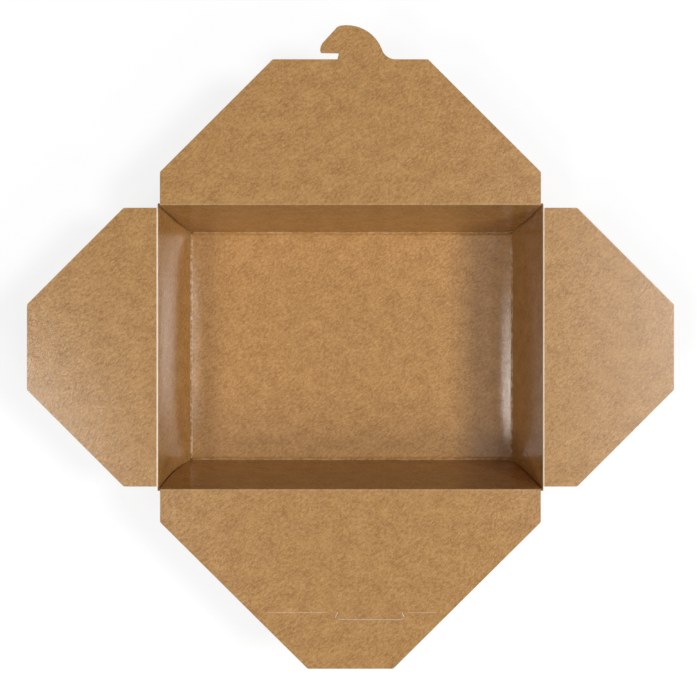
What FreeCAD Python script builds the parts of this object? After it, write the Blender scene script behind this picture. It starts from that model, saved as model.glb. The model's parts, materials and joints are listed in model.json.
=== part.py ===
import FreeCAD, Part
import math
import os

# A takeaway box folded from one scored sheet of board, with its four lid flaps laid open.
# The sheet makes a floor, four leaning walls and, at each corner, a web that keeps the
# board whole between two walls. Each web is folded double along its diagonal and glued to
# the outside of the long wall, so that no corner has a seam to leak through. The flap at
# the back ends in a hooked tab, and the flap at the front has the slit that takes it.
#
# Origin at the middle of the underside, X along the long side, Y towards the back flap,
# Z up. Sizes are in millimetres and follow the middle of the board's thickness.

# Board, and the air that is left beside it
board = 0.45
layer_gap = 0.3  # between two layers of a folded corner
stack_gap = 0.15  # between two flaps that lie closed on each other
crease_gap = 0.2  # between a wall and the end of its flap, as the flap swings
crease_bevel = 0.4  # the flap's end slants back by this much below, so that it can droop

# Tray
floor_length = 197.0
floor_width = 140.0
rim_length = 215.0
rim_width = 158.2
rim_height = 64.0  # crease of the two side flaps, above the table
fold_radius = 0.5  # outside of the fold between the floor and a wall
wall_drop = 0.1  # top of a wall, below the crease of its flap
web_root = 1.0  # the folded web is this long at the floor, where it ends in a point
web_drop = 2.2  # top of the folded web, below the rim

# Lid flaps: each has straight sides up to its shoulder, then slopes in to its edge
long_flap_inset = 1.5  # a long flap is this much shorter than the rim at each end
side_flap_inset = 1.4
shoulder_radius = 2.0
edge_radius = 1.2
tab_flap_shoulder = 18.2
tab_flap_length = 80.9
tab_flap_edge = 86.4
slot_flap_shoulder = 18.3
slot_flap_length = 99.9
slot_flap_edge = 47.6
side_flap_shoulder = 18.9
side_flap_length = 72.8
side_flap_edge = 47.6

# Hooked tab on the back flap: x from the middle of the flap, rise from its edge
tab_reach = 19.0
head_radius = 20.9
head_x = -2.0
root_fillet = 8.0
neck_x = -7.3
neck_lean = 0.9  # the neck leans in by this much over the notch
notch_width = 3.3  # between the flap's edge and the hook
hook_tip_x = -16.8
hook_tip_rise = 4.6
hook_nose = 0.4  # how far the underside of the hook stops short of its tip
knee_x = -14.4
knee_rise = 10.25
brow_x = -8.5
brow_rise = 16.7
crown_x = -5.0

# Slit in the front flap, and the creases that run out from it to each side
slit_out = 72.6  # from the flap's crease
slit_left = -5.9
slit_right = 28.7
slit_kerf = 0.35
jog_back = 4.0  # the ends of the slit turn back towards the box by this much
jog_side = 2.6  # and step aside by this much
side_crease_long = 38.4
side_crease_short = 17.8
side_crease_space = 2.2  # from the end of the slit to the start of a side crease
side_crease_width = 0.5
side_crease_depth = 0.12

# What follows from the sizes above
half_board = board / 2
pitch = board + layer_gap  # from the middle of one layer to the middle of the next
front_rim = rim_height + board + stack_gap
back_rim = front_rim + board + stack_gap
lean_length = (rim_length - floor_length) / 2
lean_width = (rim_width - floor_width) / 2
flap_start = half_board + crease_gap  # from a crease to the end of its flap
beyond = 5.0  # how far a cutting tool runs past what it cuts


def half_length(level):
    """From the middle of the box to the middle of an end wall's board, at a height."""
    return floor_length / 2 + lean_length * level / rim_height


def half_width(level):
    """The same for a long wall."""
    return floor_width / 2 + lean_width * level / rim_height


def web_length(level):
    """Length of the folded web along the long wall. Its fold halves the angle that the
    flat sheet has between the end edges of the two walls."""
    slant = math.hypot(rim_height, lean_width)
    long_lean = math.atan(lean_length / slant)
    end_lean = math.atan(lean_width / math.hypot(rim_height, lean_length))
    inward = (math.pi / 2 - long_lean - end_lean) / 2 - long_lean
    return web_root + level * slant / rim_height * (math.tan(long_lean) + math.tan(inward))


def floor_fold(level):
    """How far the outside of the tray draws in where the floor bends up into a wall."""
    if level >= fold_radius:
        return 0.0
    return fold_radius - math.sqrt(fold_radius**2 - (fold_radius - level) ** 2)


def turn(centre_u, centre_v, radius, start, sweep):
    """Points round a fold, about a centre: angles in degrees, steps of about 45."""
    steps = round(abs(sweep) / 45)
    angles = [math.radians(start + sweep * i / steps) for i in range(steps + 1)]
    return [(centre_u + radius * math.cos(a), centre_v + radius * math.sin(a)) for a in angles]


def corner_points(level, side, right, back):
    """One face of the board at one corner, from the long wall to the end wall: round the
    end of the long wall, back along it as the first web layer, round the web's fold, out
    again as the second layer, and round the corner into the end wall. side is 1 for the
    face that ends outside the tray and -1 for the one that ends inside it."""
    face = side * half_board
    drawn_in = floor_fold(level) if side > 0 else 0.0
    end = half_length(level) - drawn_in - 1.5 * pitch
    wall = half_width(level) - drawn_in
    fold = end - web_length(level)
    points = turn(end, pitch / 2, pitch / 2 - face, -90, 180)
    points += turn(fold, 1.5 * pitch, pitch / 2 + face, -90, -180)
    points += turn(end, pitch / 2, 1.5 * pitch + face, 90, -90)
    return [FreeCAD.Vector(right * u, back * (wall + v), level) for u, v in points]


def board_outline(level, side):
    """The whole face of the board at one height, as the corners of a closed outline."""
    outline = []
    for right, back in ((1, -1), (1, 1), (-1, 1), (-1, -1)):
        run = corner_points(level, side, right, back)
        outline += run if right != back else run[::-1]
    return outline


def polygon_face(points):
    return Part.Face(Part.makePolygon(points + points[:1]))


def skinned(outlines):
    """A solid through outlines at rising heights, with a flat face from edge to edge."""
    faces = [polygon_face(outlines[0]), polygon_face(outlines[-1])]
    for low, high in zip(outlines, outlines[1:]):
        for i in range(len(low)):
            faces.append(polygon_face([low[i - 1], low[i], high[i], high[i - 1]]))
    solid = Part.makeSolid(Part.makeShell(faces))
    return solid if solid.Volume > 0 else solid.reversed()


def box_between(x0, x1, y0, y1, z0, z1):
    return Part.makeBox(x1 - x0, y1 - y0, z1 - z0, FreeCAD.Vector(x0, y0, z0))


def web_top_tool(low, half_span, back):
    """Cuts off the web layers above a height, and keeps the long wall that they lie on."""
    high = back_rim + beyond
    profile = [
        (half_width(low) + pitch / 2, low),
        (half_width(high) + pitch / 2, high),
        (half_width(high) + beyond, high),
        (half_width(high) + beyond, low),
    ]
    face = polygon_face([FreeCAD.Vector(-half_span, back * y, z) for y, z in profile])
    return face.extrude(FreeCAD.Vector(2 * half_span, 0, 0))


def make_tray():
    """Floor, walls and folded corners, which are one piece of board."""
    top = back_rim - wall_drop
    fold_levels = [0.0, 0.3 * fold_radius, fold_radius]
    outside = skinned([board_outline(z, 1) for z in fold_levels + [top]])
    inside = skinned([board_outline(z, -1) for z in (board, top + beyond)])
    tray = outside.cut(inside)
    x_far = half_length(top) + beyond
    y_far = half_width(top) + beyond
    side_top = rim_height - wall_drop
    wall_end = half_length(side_top) - pitch / 2
    web_end = half_length(rim_height) - 1.5 * pitch
    tools = [box_between(-x_far, x_far, -y_far, 0, front_rim - wall_drop, top + beyond)]
    for back in (-1, 1):
        tools.append(web_top_tool(rim_height - web_drop, web_end, back))
        tools.append(web_top_tool(side_top, x_far, back))
    for x0, x1 in ((wall_end, x_far), (-x_far, -wall_end)):
        tools.append(box_between(x0, x1, -y_far, y_far, side_top, top + beyond))
    for tool in tools:
        tray = tray.cut(tool)
    return tray.removeSplitter()


def line(a, b):
    return Part.LineSegment(a, b).toShape()


def arc(a, middle, b):
    return Part.Arc(a, middle, b).toShape()


def rounded_outline(corners):
    """A closed wire through (x, y, radius) corners, with the corners rounded."""
    ends = []
    for i, (x, y, radius) in enumerate(corners):
        here = FreeCAD.Vector(x, y, 0)
        before = FreeCAD.Vector(corners[i - 1][0], corners[i - 1][1], 0) - here
        after_x, after_y, _ = corners[(i + 1) % len(corners)]
        after = FreeCAD.Vector(after_x, after_y, 0) - here
        before.normalize()
        after.normalize()
        half_angle = before.getAngle(after) / 2
        middle = before + after
        middle.normalize()
        setback = radius / math.tan(half_angle)
        nearest = radius / math.sin(half_angle) - radius
        ends.append((here + before * setback, here + middle * nearest, here + after * setback))
    edges = []
    for i, (start, middle, end) in enumerate(ends):
        if corners[i][2] > 0:
            edges.append(arc(start, middle, end))
        edges.append(line(end, ends[(i + 1) % len(ends)][0]))
    return Part.Wire(edges)


def plate(wire):
    """The board inside a wire, with the middle of its thickness at height 0."""
    solid = Part.Face(wire).extrude(FreeCAD.Vector(0, 0, board))
    solid.translate(FreeCAD.Vector(0, 0, -half_board))
    return solid


def flap_plate(base, shoulder, length, edge):
    """A lid flap: x along its crease, y outwards from the crease."""
    half_base = base / 2
    half_edge = edge / 2
    outline = rounded_outline(
        [
            (-half_base, flap_start, 0.0),
            (half_base, flap_start, 0.0),
            (half_base, shoulder, shoulder_radius),
            (half_edge, length, edge_radius),
            (-half_edge, length, edge_radius),
            (-half_base, shoulder, shoulder_radius),
        ]
    )
    slant = [(flap_start, half_board), (flap_start + crease_bevel, -half_board)]
    slant.append((flap_start, -half_board))
    wedge = polygon_face([FreeCAD.Vector(-half_base - beyond, y, z) for y, z in slant])
    return plate(outline).cut(wedge.extrude(FreeCAD.Vector(base + 2 * beyond, 0, 0)))


def hooked_tab():
    """The tab: a round head that runs into the flap's edge with a fillet on its right, and
    ends in a hook over a notch on its left."""

    def at(x, rise):
        return FreeCAD.Vector(x, tab_flap_length + rise, 0)

    head_rise = tab_reach - head_radius
    centres = head_radius + root_fillet
    fillet_x = head_x + math.sqrt(centres**2 - (root_fillet - head_rise) ** 2)
    share = head_radius / centres
    side_x = head_x + share * (fillet_x - head_x)
    side_rise = head_rise + share * (root_fillet - head_rise)
    towards_edge = math.atan2(head_rise - root_fillet, head_x - fillet_x)
    fillet_turn = (towards_edge - math.pi / 2) / 2
    fillet_mid = at(
        fillet_x + root_fillet * math.cos(fillet_turn),
        root_fillet + root_fillet * math.sin(fillet_turn),
    )
    crown_rise = head_rise + math.sqrt(head_radius**2 - (crown_x - head_x) ** 2)
    head_angle = math.radians(55)
    head_mid = at(
        head_x + head_radius * math.cos(head_angle),
        head_rise + head_radius * math.sin(head_angle),
    )
    inner = at(neck_x + neck_lean, notch_width)
    under = at(hook_tip_x + hook_nose, notch_width + hook_nose / 2)
    tip = at(hook_tip_x, hook_tip_rise)
    knee = at(knee_x, knee_rise)
    brow = at(brow_x, brow_rise)
    crown = at(crown_x, crown_rise)
    side = at(side_x, side_rise)
    root = at(fillet_x, 0)
    edges = [
        line(at(neck_x, -beyond), at(neck_x, 0)),
        line(at(neck_x, 0), inner),
        line(inner, under),
        line(under, tip),
        arc(tip, bulged(tip, knee), knee),
        line(knee, brow),
        arc(brow, bulged(brow, crown), crown),
        arc(crown, head_mid, side),
        arc(side, fillet_mid, root),
        line(root, at(fillet_x, -beyond)),
        line(at(fillet_x, -beyond), at(neck_x, -beyond)),
    ]
    return plate(Part.Wire(edges))


def bulged(a, b):
    """A point a little to the left of the middle of the way from a to b."""
    along = b - a
    return a + along * 0.5 + FreeCAD.Vector(-along.y, along.x, 0) * 0.12


def ribbon(points, width, low, high):
    """A narrow upright wall along a line of points, with round ends, used as a cutter."""
    places = [FreeCAD.Vector(x, y, low) for x, y in points]
    up = high - low
    solid = Part.makeCylinder(width / 2, up, places[0])
    for a, b in zip(places, places[1:]):
        along = b - a
        aside = FreeCAD.Vector(-along.y, along.x, 0)
        aside.normalize()
        aside = aside * (width / 2)
        face = polygon_face([a - aside, b - aside, b + aside, a + aside])
        solid = solid.fuse(face.extrude(FreeCAD.Vector(0, 0, up)))
        solid = solid.fuse(Part.makeCylinder(width / 2, up, b))
    return solid


def make_tab_flap():
    base = rim_length - 2 * long_flap_inset
    flap = flap_plate(base, tab_flap_shoulder, tab_flap_length, tab_flap_edge)
    flap = flap.fuse(hooked_tab()).removeSplitter()
    flap.translate(FreeCAD.Vector(0, half_width(back_rim), back_rim))
    return flap


def make_slot_flap():
    """The front flap. It is made pointing along +Y and then mirrored to the front."""
    base = rim_length - 2 * long_flap_inset
    flap = flap_plate(base, slot_flap_shoulder, slot_flap_length, slot_flap_edge)
    jog_y = slit_out - jog_back
    slit = [
        (slit_left - jog_side / 2, jog_y),
        (slit_left - jog_side, slit_out - jog_back / 4),
        (slit_left, slit_out),
        (slit_right, slit_out),
        (slit_right + jog_side / 2, slit_out - jog_back / 3),
        (slit_right, jog_y),
    ]
    flap = flap.cut(ribbon(slit, slit_kerf, -board, board))
    left_start = slit_left - jog_side - side_crease_space
    right_start = slit_right + side_crease_space
    groove_floor = half_board - side_crease_depth
    for start, end in (
        (left_start, left_start - side_crease_long),
        (right_start, right_start + side_crease_short),
    ):
        line_points = [(start, jog_y), (end, jog_y)]
        flap = flap.cut(ribbon(line_points, side_crease_width, groove_floor, board))
    flap = flap.mirror(FreeCAD.Vector(0, 0, 0), FreeCAD.Vector(0, 1, 0))
    flap.translate(FreeCAD.Vector(0, -half_width(front_rim), front_rim))
    return flap


def make_side_flap(right):
    """A side flap: right is 1 for the flap at +X and -1 for the one at -X."""
    base = rim_width - 2 * side_flap_inset
    flap = flap_plate(base, side_flap_shoulder, side_flap_length, side_flap_edge)
    flap.rotate(FreeCAD.Vector(0, 0, 0), FreeCAD.Vector(0, 0, 1), -90 * right)
    flap.translate(FreeCAD.Vector(right * half_length(rim_height), 0, rim_height))
    return flap


def main():
    parts = {
        "tray": make_tray(),
        "tab_flap": make_tab_flap(),
        "slot_flap": make_slot_flap(),
        "left_flap": make_side_flap(-1),
        "right_flap": make_side_flap(1),
    }
    os.makedirs("parts", exist_ok=True)
    for name, shape in parts.items():
        shape.exportStep("parts/" + name + ".step")
        print(name, len(shape.Solids), shape.isValid(), round(shape.Volume, 1), shape.BoundBox)


main()
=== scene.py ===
"""A takeaway box folded from one sheet of coated kraft board, with its four lid flaps open.

Sizes in the settings are in metres, as Blender keeps them. The mesh code works in
millimetres, because that is how a carton maker reads a blank, and turns them into metres
when a piece is made. Every point of the board also keeps its place on the flat blank, in
the point attribute "blank", so that the grain of the paper runs on over the folds.
"""

import json
import math

import bmesh
import bpy
import numpy as np
from bpy.props import FloatProperty, FloatVectorProperty, IntProperty, PointerProperty
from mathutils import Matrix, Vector
from mathutils.geometry import delaunay_2d_cdt


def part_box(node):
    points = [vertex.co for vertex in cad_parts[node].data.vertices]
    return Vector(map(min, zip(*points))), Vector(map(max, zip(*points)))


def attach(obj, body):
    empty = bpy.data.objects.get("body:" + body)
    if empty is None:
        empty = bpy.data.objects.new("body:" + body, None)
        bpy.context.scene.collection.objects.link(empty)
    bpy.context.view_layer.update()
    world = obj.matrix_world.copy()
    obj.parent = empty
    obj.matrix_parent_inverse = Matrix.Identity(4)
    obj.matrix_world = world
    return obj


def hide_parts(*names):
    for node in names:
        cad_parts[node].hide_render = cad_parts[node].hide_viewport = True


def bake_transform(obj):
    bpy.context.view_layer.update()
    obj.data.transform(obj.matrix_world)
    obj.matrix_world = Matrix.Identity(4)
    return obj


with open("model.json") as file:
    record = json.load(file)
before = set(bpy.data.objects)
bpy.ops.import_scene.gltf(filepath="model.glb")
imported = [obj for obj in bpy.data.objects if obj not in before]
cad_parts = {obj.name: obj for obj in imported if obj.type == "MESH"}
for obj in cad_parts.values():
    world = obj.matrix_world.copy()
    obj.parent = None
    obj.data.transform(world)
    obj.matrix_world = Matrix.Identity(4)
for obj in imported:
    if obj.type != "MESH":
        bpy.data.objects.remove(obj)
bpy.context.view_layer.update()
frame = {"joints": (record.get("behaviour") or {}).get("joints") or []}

bl_info = {
    "name": "Takeaway Box",
    "version": (1, 0, 0),
    "blender": (4, 5, 0),
    "location": "View3D > Sidebar > Takeaway Box",
    "description": "Folded kraft board takeaway box with webbed corners and hinged lid flaps",
    "category": "Add Mesh",
}

MM = 0.001
QUARTER = math.pi / 2
UP = Vector((0, 0, 1))
FOOD, OUTER, CUT = 0, 1, 2  # material slots: coated food side, bare outer side, cut edge

# Creases of the four lid flaps, which are the hinges of the frame
CREASE = {joint["child"]: Vector(joint["pos_m"]) / MM for joint in frame["joints"]}
SIDE_RIM = CREASE["right_flap"].z
FRONT_RIM = CREASE["slot_flap"].z
BACK_RIM = CREASE["tab_flap"].z
RIM_HALF_LENGTH = CREASE["right_flap"].x
LONG_WALL_LEAN = (CREASE["tab_flap"].y + CREASE["slot_flap"].y) / (BACK_RIM - FRONT_RIM)
FLAP_BOX = {name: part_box(name) for name in CREASE}


def linear(code):
    """An sRGB hex colour as the three linear values that Blender works with."""
    parts = [int(code[i : i + 2], 16) / 255 for i in (0, 2, 4)]
    return tuple(c / 12.92 if c <= 0.04045 else ((c + 0.055) / 1.055) ** 2.4 for c in parts)


def span(name, axis):
    """Size of a flap's plate along an axis, in mm."""
    low, high = FLAP_BOX[name]
    return (high[axis] - low[axis]) / MM


def length_prop(name, description, default):
    """A length, with its default in mm."""
    return FloatProperty(
        name=name, description=description, default=default * MM, unit="LENGTH", precision=5
    )


def colour_prop(name, description, code):
    return FloatVectorProperty(
        name=name, description=description, default=linear(code), subtype="COLOR", size=3,
        min=0.0, max=1.0,
    )


def share_prop(name, description, default):
    return FloatProperty(name=name, description=description, default=default)


class TraySizes(bpy.types.PropertyGroup):
    board: length_prop("Board", "Thickness of the board", span("left_flap", 2))
    layer_gap: length_prop("Layer gap", "Air between two layers of a folded web", 0.3)
    floor_length: length_prop("Floor length", "Between the two end folds", 197)
    fold_radius: length_prop("Fold radius", "Outside of the folds at the floor", 0.5)
    web_root: length_prop("Web root", "Length of the folded web at the floor", 1.0)
    web_drop: length_prop("Web drop", "Top of the folded web below the rim", 2.2)
    bow_front_left: length_prop("Left bow, front", "How far the left wall bows out", 3.0)
    bow_back_left: length_prop("Left bow, back", "The same at its back end", 1.3)
    bow_right: length_prop("Right bow", "How far the right wall bows out", 1.2)
    bow_long: length_prop("Long bow", "How far a long wall bows out", 0.4)
    seam_opening: length_prop("Seam opening", "How far a corner seam gapes", 0.6)
    lift_left: length_prop("Left lift", "How far the floor's left fold lifts", 1.7)
    lift_right: length_prop("Right lift", "How far its right fold lifts", 2.6)
    band_left: length_prop("Left band", "Width over which the floor curves up", 11)
    band_right: length_prop("Right band", "The same at the right", 13)


class FlapSizes(bpy.types.PropertyGroup):
    seam_drop: length_prop("Seam drop", "Where a flap's sheet starts, below its crease", 0.6)
    fold_inside: length_prop("Fold inside", "Inner radius of a lid crease", 0.12)
    plate_start: length_prop("Plate start", "Where the flat of a flap starts", 0.72)
    edge_round: length_prop("Edge round", "Softening of the die-cut edge", 0.05)
    shoulder_radius: length_prop("Shoulder radius", "Corner at a flap's shoulder", 2.0)
    edge_radius: length_prop("Edge radius", "Corner at a flap's outer edge", 1.2)
    tab_shoulder: length_prop("Tab flap shoulder", "Straight side of the back flap", 18.2)
    tab_length: length_prop("Tab flap length", "Crease to edge of the back flap", 80.9)
    tab_edge: length_prop("Tab flap edge", "Outer edge of the back flap", 86.4)
    slot_shoulder: length_prop("Slot flap shoulder", "Straight side of the front flap", 18.3)
    slot_edge: length_prop("Slot flap edge", "Outer edge of the front flap", 47.6)
    side_shoulder: length_prop("Side flap shoulder", "Straight side of a side flap", 18.9)
    side_edge: length_prop("Side flap edge", "Outer edge of a side flap", 47.6)
    slit_kerf: length_prop("Slit kerf", "Width of the slit that takes the tab", 0.22)
    crease_width: length_prop("Crease width", "Width of the creases beside the slit", 0.9)
    crease_depth: length_prop("Crease depth", "Depth of the creases beside the slit", 0.14)


class BeadSizes(bpy.types.PropertyGroup):
    corner_radius: length_prop("Corner bead", "Radius of the bead in the fold", 0.30)
    floor_radius: length_prop("Floor bead", "Radius of the bead beside it", 0.20)
    spacing: length_prop("Spacing", "Between the two beads of a fold", 0.75)
    step: length_prop("Step", "Between two rings of a bead", 0.8)
    crackle: share_prop("Crackle", "How much a bead swells and shrinks", 0.35)
    # The end beads are painted paler than the side beads: whitened coating, and painted highlights
    # from the side lamps
    end_wear_and_glint: share_prop("End wear", "Whitening of the beads along the end folds", 1.0)
    side_wear_and_glint: share_prop("Side wear", "Whitening of the beads along the long folds", 0.3)
    seed: IntProperty(name="Seed", description="Seed of the crackle", default=7)


class BoardColours(bpy.types.PropertyGroup):
    coated: colour_prop("Coated side", "Kraft board under its clear coating", "B98C51")
    fleck: colour_prop("Pale fleck", "Pale fibres and scuffs in the coated side", "D6AC7A")
    shade: colour_prop("Dark fleck", "Dark fibres in the coated side", "94672F")
    outer: colour_prop("Outer side", "Bare kraft board", "AD8455")
    # Pale of the coating where it whitens over folds; the same colour is laid on as painted
    # highlights along the folds, creases and seam edges
    worn: colour_prop("Worn coating", "Coating stretched white over a fold", "F0E2CC")
    cut: colour_prop("Cut edge", "Die-cut edge of the board", "9C7548")
    stage: colour_prop("Floor", "Floor that the box stands on", "F2F0EC")


class TakeawayBoxSettings(bpy.types.PropertyGroup):
    tray: PointerProperty(type=TraySizes)
    flaps: PointerProperty(type=FlapSizes)
    beads: PointerProperty(type=BeadSizes)
    colours: PointerProperty(type=BoardColours)


def settings():
    return bpy.context.scene.takeaway_box


def sizes_of(group):
    """The lengths of a settings group in millimetres, and its other values as they are."""
    sizes = {}
    for key, prop in group.bl_rna.properties.items():
        if key not in ("rna_type", "name"):
            value = getattr(group, key)
            sizes[key] = value / MM if prop.unit == "LENGTH" else value
    return sizes


# Materials

# Kinds of node that are used often
MATH, VECTOR_MATH, MAP_RANGE = "ShaderNodeMath", "ShaderNodeVectorMath", "ShaderNodeMapRange"
MIX, COMBINE, NOISE = "ShaderNodeMix", "ShaderNodeCombineXYZ", "ShaderNodeTexNoise"


def add_node(tree, kind, inputs=None, **properties):
    """Adds a node, sets its properties, and sets or links its inputs. A node given as an
    input stands for the first of its outputs that is in use."""
    made = tree.nodes.new(kind)
    for name, value in properties.items():
        setattr(made, name, value)
    for key, value in (inputs or {}).items():
        if isinstance(value, bpy.types.Node):
            value = next(output for output in value.outputs if output.enabled)
        if isinstance(value, bpy.types.NodeSocket):
            tree.links.new(value, made.inputs[key])
        else:
            made.inputs[key].default_value = value
    return made


def new_material(name):
    material = bpy.data.materials.new(name)
    material.use_nodes = True
    material.node_tree.nodes.clear()
    return material, material.node_tree


def grain(tree, place, along, across, lean, detail=2.0, offset=0.0):
    """Noise stretched along the grain of the paper: sizes in mm on the blank, lean in
    degrees from the long side of the box."""
    turned = {0: place, 1: (offset, offset, 0), 2: (0, 0, math.radians(-lean))}
    scaled = {0: add_node(tree, "ShaderNodeMapping", turned), 1: (1 / along, 1 / across, 1)}
    vector = add_node(tree, VECTOR_MATH, scaled, operation="MULTIPLY")
    return add_node(
        tree, NOISE, {"Vector": vector, "Scale": 1.0, "Detail": detail, "Roughness": 0.55}
    )


def weighed(tree, pairs):
    """The sum of each value times its weight."""
    total = 0.0
    for value, weight in pairs:
        inputs = {0: value, 1: weight, 2: total}
        total = add_node(tree, MATH, inputs, operation="MULTIPLY_ADD")
    return total


def rgba(colour, strength=1.0):
    return (*(min(1.0, c * strength) for c in colour), 1.0)


def finish_board(tree, colour, relief, roughness, ior, depth):
    """The shader of a board, with a relief of its fibres as deep as depth in mm."""
    raised = {"Strength": 1.0, "Distance": depth * MM, "Height": relief}
    bump = add_node(tree, "ShaderNodeBump", raised)
    inputs = {"Base Color": colour, "Roughness": roughness, "IOR": ior, "Normal": bump}
    shader = add_node(tree, "ShaderNodeBsdfPrincipled", inputs)
    add_node(tree, "ShaderNodeOutputMaterial", {0: shader})


GRAIN_LEAN = 56  # degrees: the pale fibres and scuffs run up to the right
SCUFF_LEAN = 34
# Index of refraction of polyethylene, of pressed fibres and of loose ones at the cut
COATING_IOR, PULP_IOR, FLUFF_IOR = 1.5, 1.47, 1.45


def coated_kraft(tree, colours):
    """Kraft board with a clear polyethylene coating, extruded on and chill-rolled. The
    brown is cloudy and flecked with fibres, and the coating gives a soft white glare that
    breaks up along the fibres beneath it."""
    place = add_node(tree, "ShaderNodeAttribute", attribute_name="blank").outputs["Vector"]
    worn = add_node(tree, "ShaderNodeAttribute", attribute_name="worn").outputs["Fac"]
    # Clouds in the pulp, the mottle and specks of its clumps, and its fibres. Fibres are
    # finer than 0.1 mm and are drawn as the bundles that the eye sees.
    cloud = grain(tree, place, 10.0, 8.0, 0, detail=3.0)
    mottle = grain(tree, place, 2.4, 1.7, 30, detail=3.0, offset=40)
    speck = grain(tree, place, 1.0, 0.9, 0, detail=1.0, offset=320)
    fibre = grain(tree, place, 3.2, 0.7, GRAIN_LEAN, offset=90)
    scuff = grain(tree, place, 4.5, 0.8, SCUFF_LEAN, offset=150)
    tone = weighed(tree, [(cloud, 0.8), (mottle, 1.1), (speck, 0.85), (fibre, 0.3)])
    light = add_node(tree, MAP_RANGE, {0: tone, 1: 1.2, 2: 1.85})
    pale_fibre = add_node(tree, MAP_RANGE, {0: fibre, 1: 0.58, 2: 0.8})
    pale_scuff = add_node(tree, MAP_RANGE, {0: scuff, 1: 0.58, 2: 0.8})
    pale = weighed(tree, [(pale_fibre, 0.42), (pale_scuff, 0.38)])
    # The pale laid over folds and creases: coating whitened there, and painted highlights
    wear_and_glint_mix = weighed(tree, [(worn, 0.75)])
    colour = rgba(colours.shade)
    for share, over in (
        (light, colours.coated),
        (pale, colours.fleck),
        (wear_and_glint_mix, colours.worn),
    ):
        colour = add_node(tree, MIX, {0: share, 6: colour, 7: rgba(over)}, data_type="RGBA")
    relief = weighed(tree, [(fibre, 0.6), (mottle, 0.35), (scuff, 0.5)])
    rough = add_node(tree, MAP_RANGE, {0: mottle, 1: 0.3, 2: 0.7, 3: 0.15, 4: 0.22})
    finish_board(tree, colour, relief, roughness=rough, ior=COATING_IOR, depth=0.11)


def bare_kraft(tree, colours):
    """Uncoated kraft board, machine-finished. It is dull and a little darker, with long
    fibres along the grain and a felt-like fine roughness."""
    place = add_node(tree, "ShaderNodeAttribute", attribute_name="blank").outputs["Vector"]
    cloud = grain(tree, place, 14.0, 9.0, 0, detail=3.0, offset=210)
    speck = grain(tree, place, 1.2, 1.0, 0, detail=1.0, offset=380)
    fibre = grain(tree, place, 4.0, 0.6, GRAIN_LEAN, offset=260)
    tone = weighed(tree, [(cloud, 0.8), (speck, 0.7), (fibre, 0.5)])
    light = add_node(tree, MAP_RANGE, {0: tone, 1: 0.6, 2: 1.4})
    mixed = {0: light, 6: rgba(colours.outer, 0.72), 7: rgba(colours.outer, 1.18)}
    colour = add_node(tree, MIX, mixed, data_type="RGBA")
    relief = weighed(tree, [(fibre, 0.7), (speck, 0.3)])
    finish_board(tree, colour, relief, roughness=0.82, ior=PULP_IOR, depth=0.03)


def cut_board(tree, colours):
    """The die-cut edge: packed fibre layers, fluffy and without gloss."""
    place = add_node(tree, "ShaderNodeTexCoord").outputs["Object"]
    millimetres = add_node(tree, VECTOR_MATH, {0: place, "Scale": 1 / MM}, operation="SCALE")
    fluff = grain(tree, millimetres, 0.5, 0.5, 0)
    light = add_node(tree, MAP_RANGE, {0: fluff, 1: 0.3, 2: 0.7})
    mixed = {0: light, 6: rgba(colours.cut, 0.7), 7: rgba(colours.cut)}
    colour = add_node(tree, MIX, mixed, data_type="RGBA")
    finish_board(tree, colour, fluff, roughness=0.92, ior=FLUFF_IOR, depth=0.05)


def board_materials():
    """The three finishes of the board, in the order of the material slots."""
    made = []
    for name, dress in (
        ("Polyethylene-coated kraft board", coated_kraft),
        ("Bare kraft board", bare_kraft),
        ("Die-cut board edge", cut_board),
    ):
        material = bpy.data.materials.get(name)
        if material is None:
            material, tree = new_material(name)
            dress(tree, settings().colours)
        made.append(material)
    return made


# Shared mesh code

SHARP_FOLD = math.radians(38)  # an edge that turns more than this keeps a crisp shade


def board_piece(name, points, faces, skins, blank, worn):
    """A mesh object from points in mm: skins gives each face's material slot, blank each
    point's place on the flat sheet, and the last how pale it is painted there: coating
    whitened over folds, and painted highlights."""
    mesh = bpy.data.meshes.new(name)
    mesh.from_pydata([Vector(p) * MM for p in points], [], faces)
    mesh.polygons.foreach_set("material_index", skins)
    attribute = mesh.attributes.new("blank", "FLOAT_VECTOR", "POINT")
    attribute.data.foreach_set("vector", np.array(blank, np.float32).ravel())
    attribute = mesh.attributes.new("worn", "FLOAT", "POINT")
    attribute.data.foreach_set("value", np.array(worn, np.float32))
    mesh.polygons.foreach_set("use_smooth", [True] * len(mesh.polygons))
    shape = bmesh.new()
    shape.from_mesh(mesh)
    for edge in shape.edges:
        if len(edge.link_faces) != 2:
            raise RuntimeError(f"{name} is not closed at {tuple(edge.verts[0].co)}")
        edge.smooth = edge.calc_face_angle(0.0) < SHARP_FOLD
    if shape.calc_volume(signed=True) < 0:
        bmesh.ops.reverse_faces(shape, faces=shape.faces)
    shape.to_mesh(mesh)
    shape.free()
    for material in board_materials():
        mesh.materials.append(material)
    piece = bpy.data.objects.new(name, mesh)
    bpy.context.scene.collection.objects.link(piece)
    return piece


def arc(centre, radius, start, sweep, steps):
    """Points along an arc, with angles in radians."""
    angles = [start + sweep * i / steps for i in range(steps + 1)]
    x, y = centre
    return [(x + radius * math.cos(a), y + radius * math.sin(a)) for a in angles]


def stretch(a, b, steps):
    """Points from a towards b, without the two ends."""
    return [tuple(p + (q - p) * i / steps for p, q in zip(a, b)) for i in range(1, steps)]


# Tray

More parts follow.
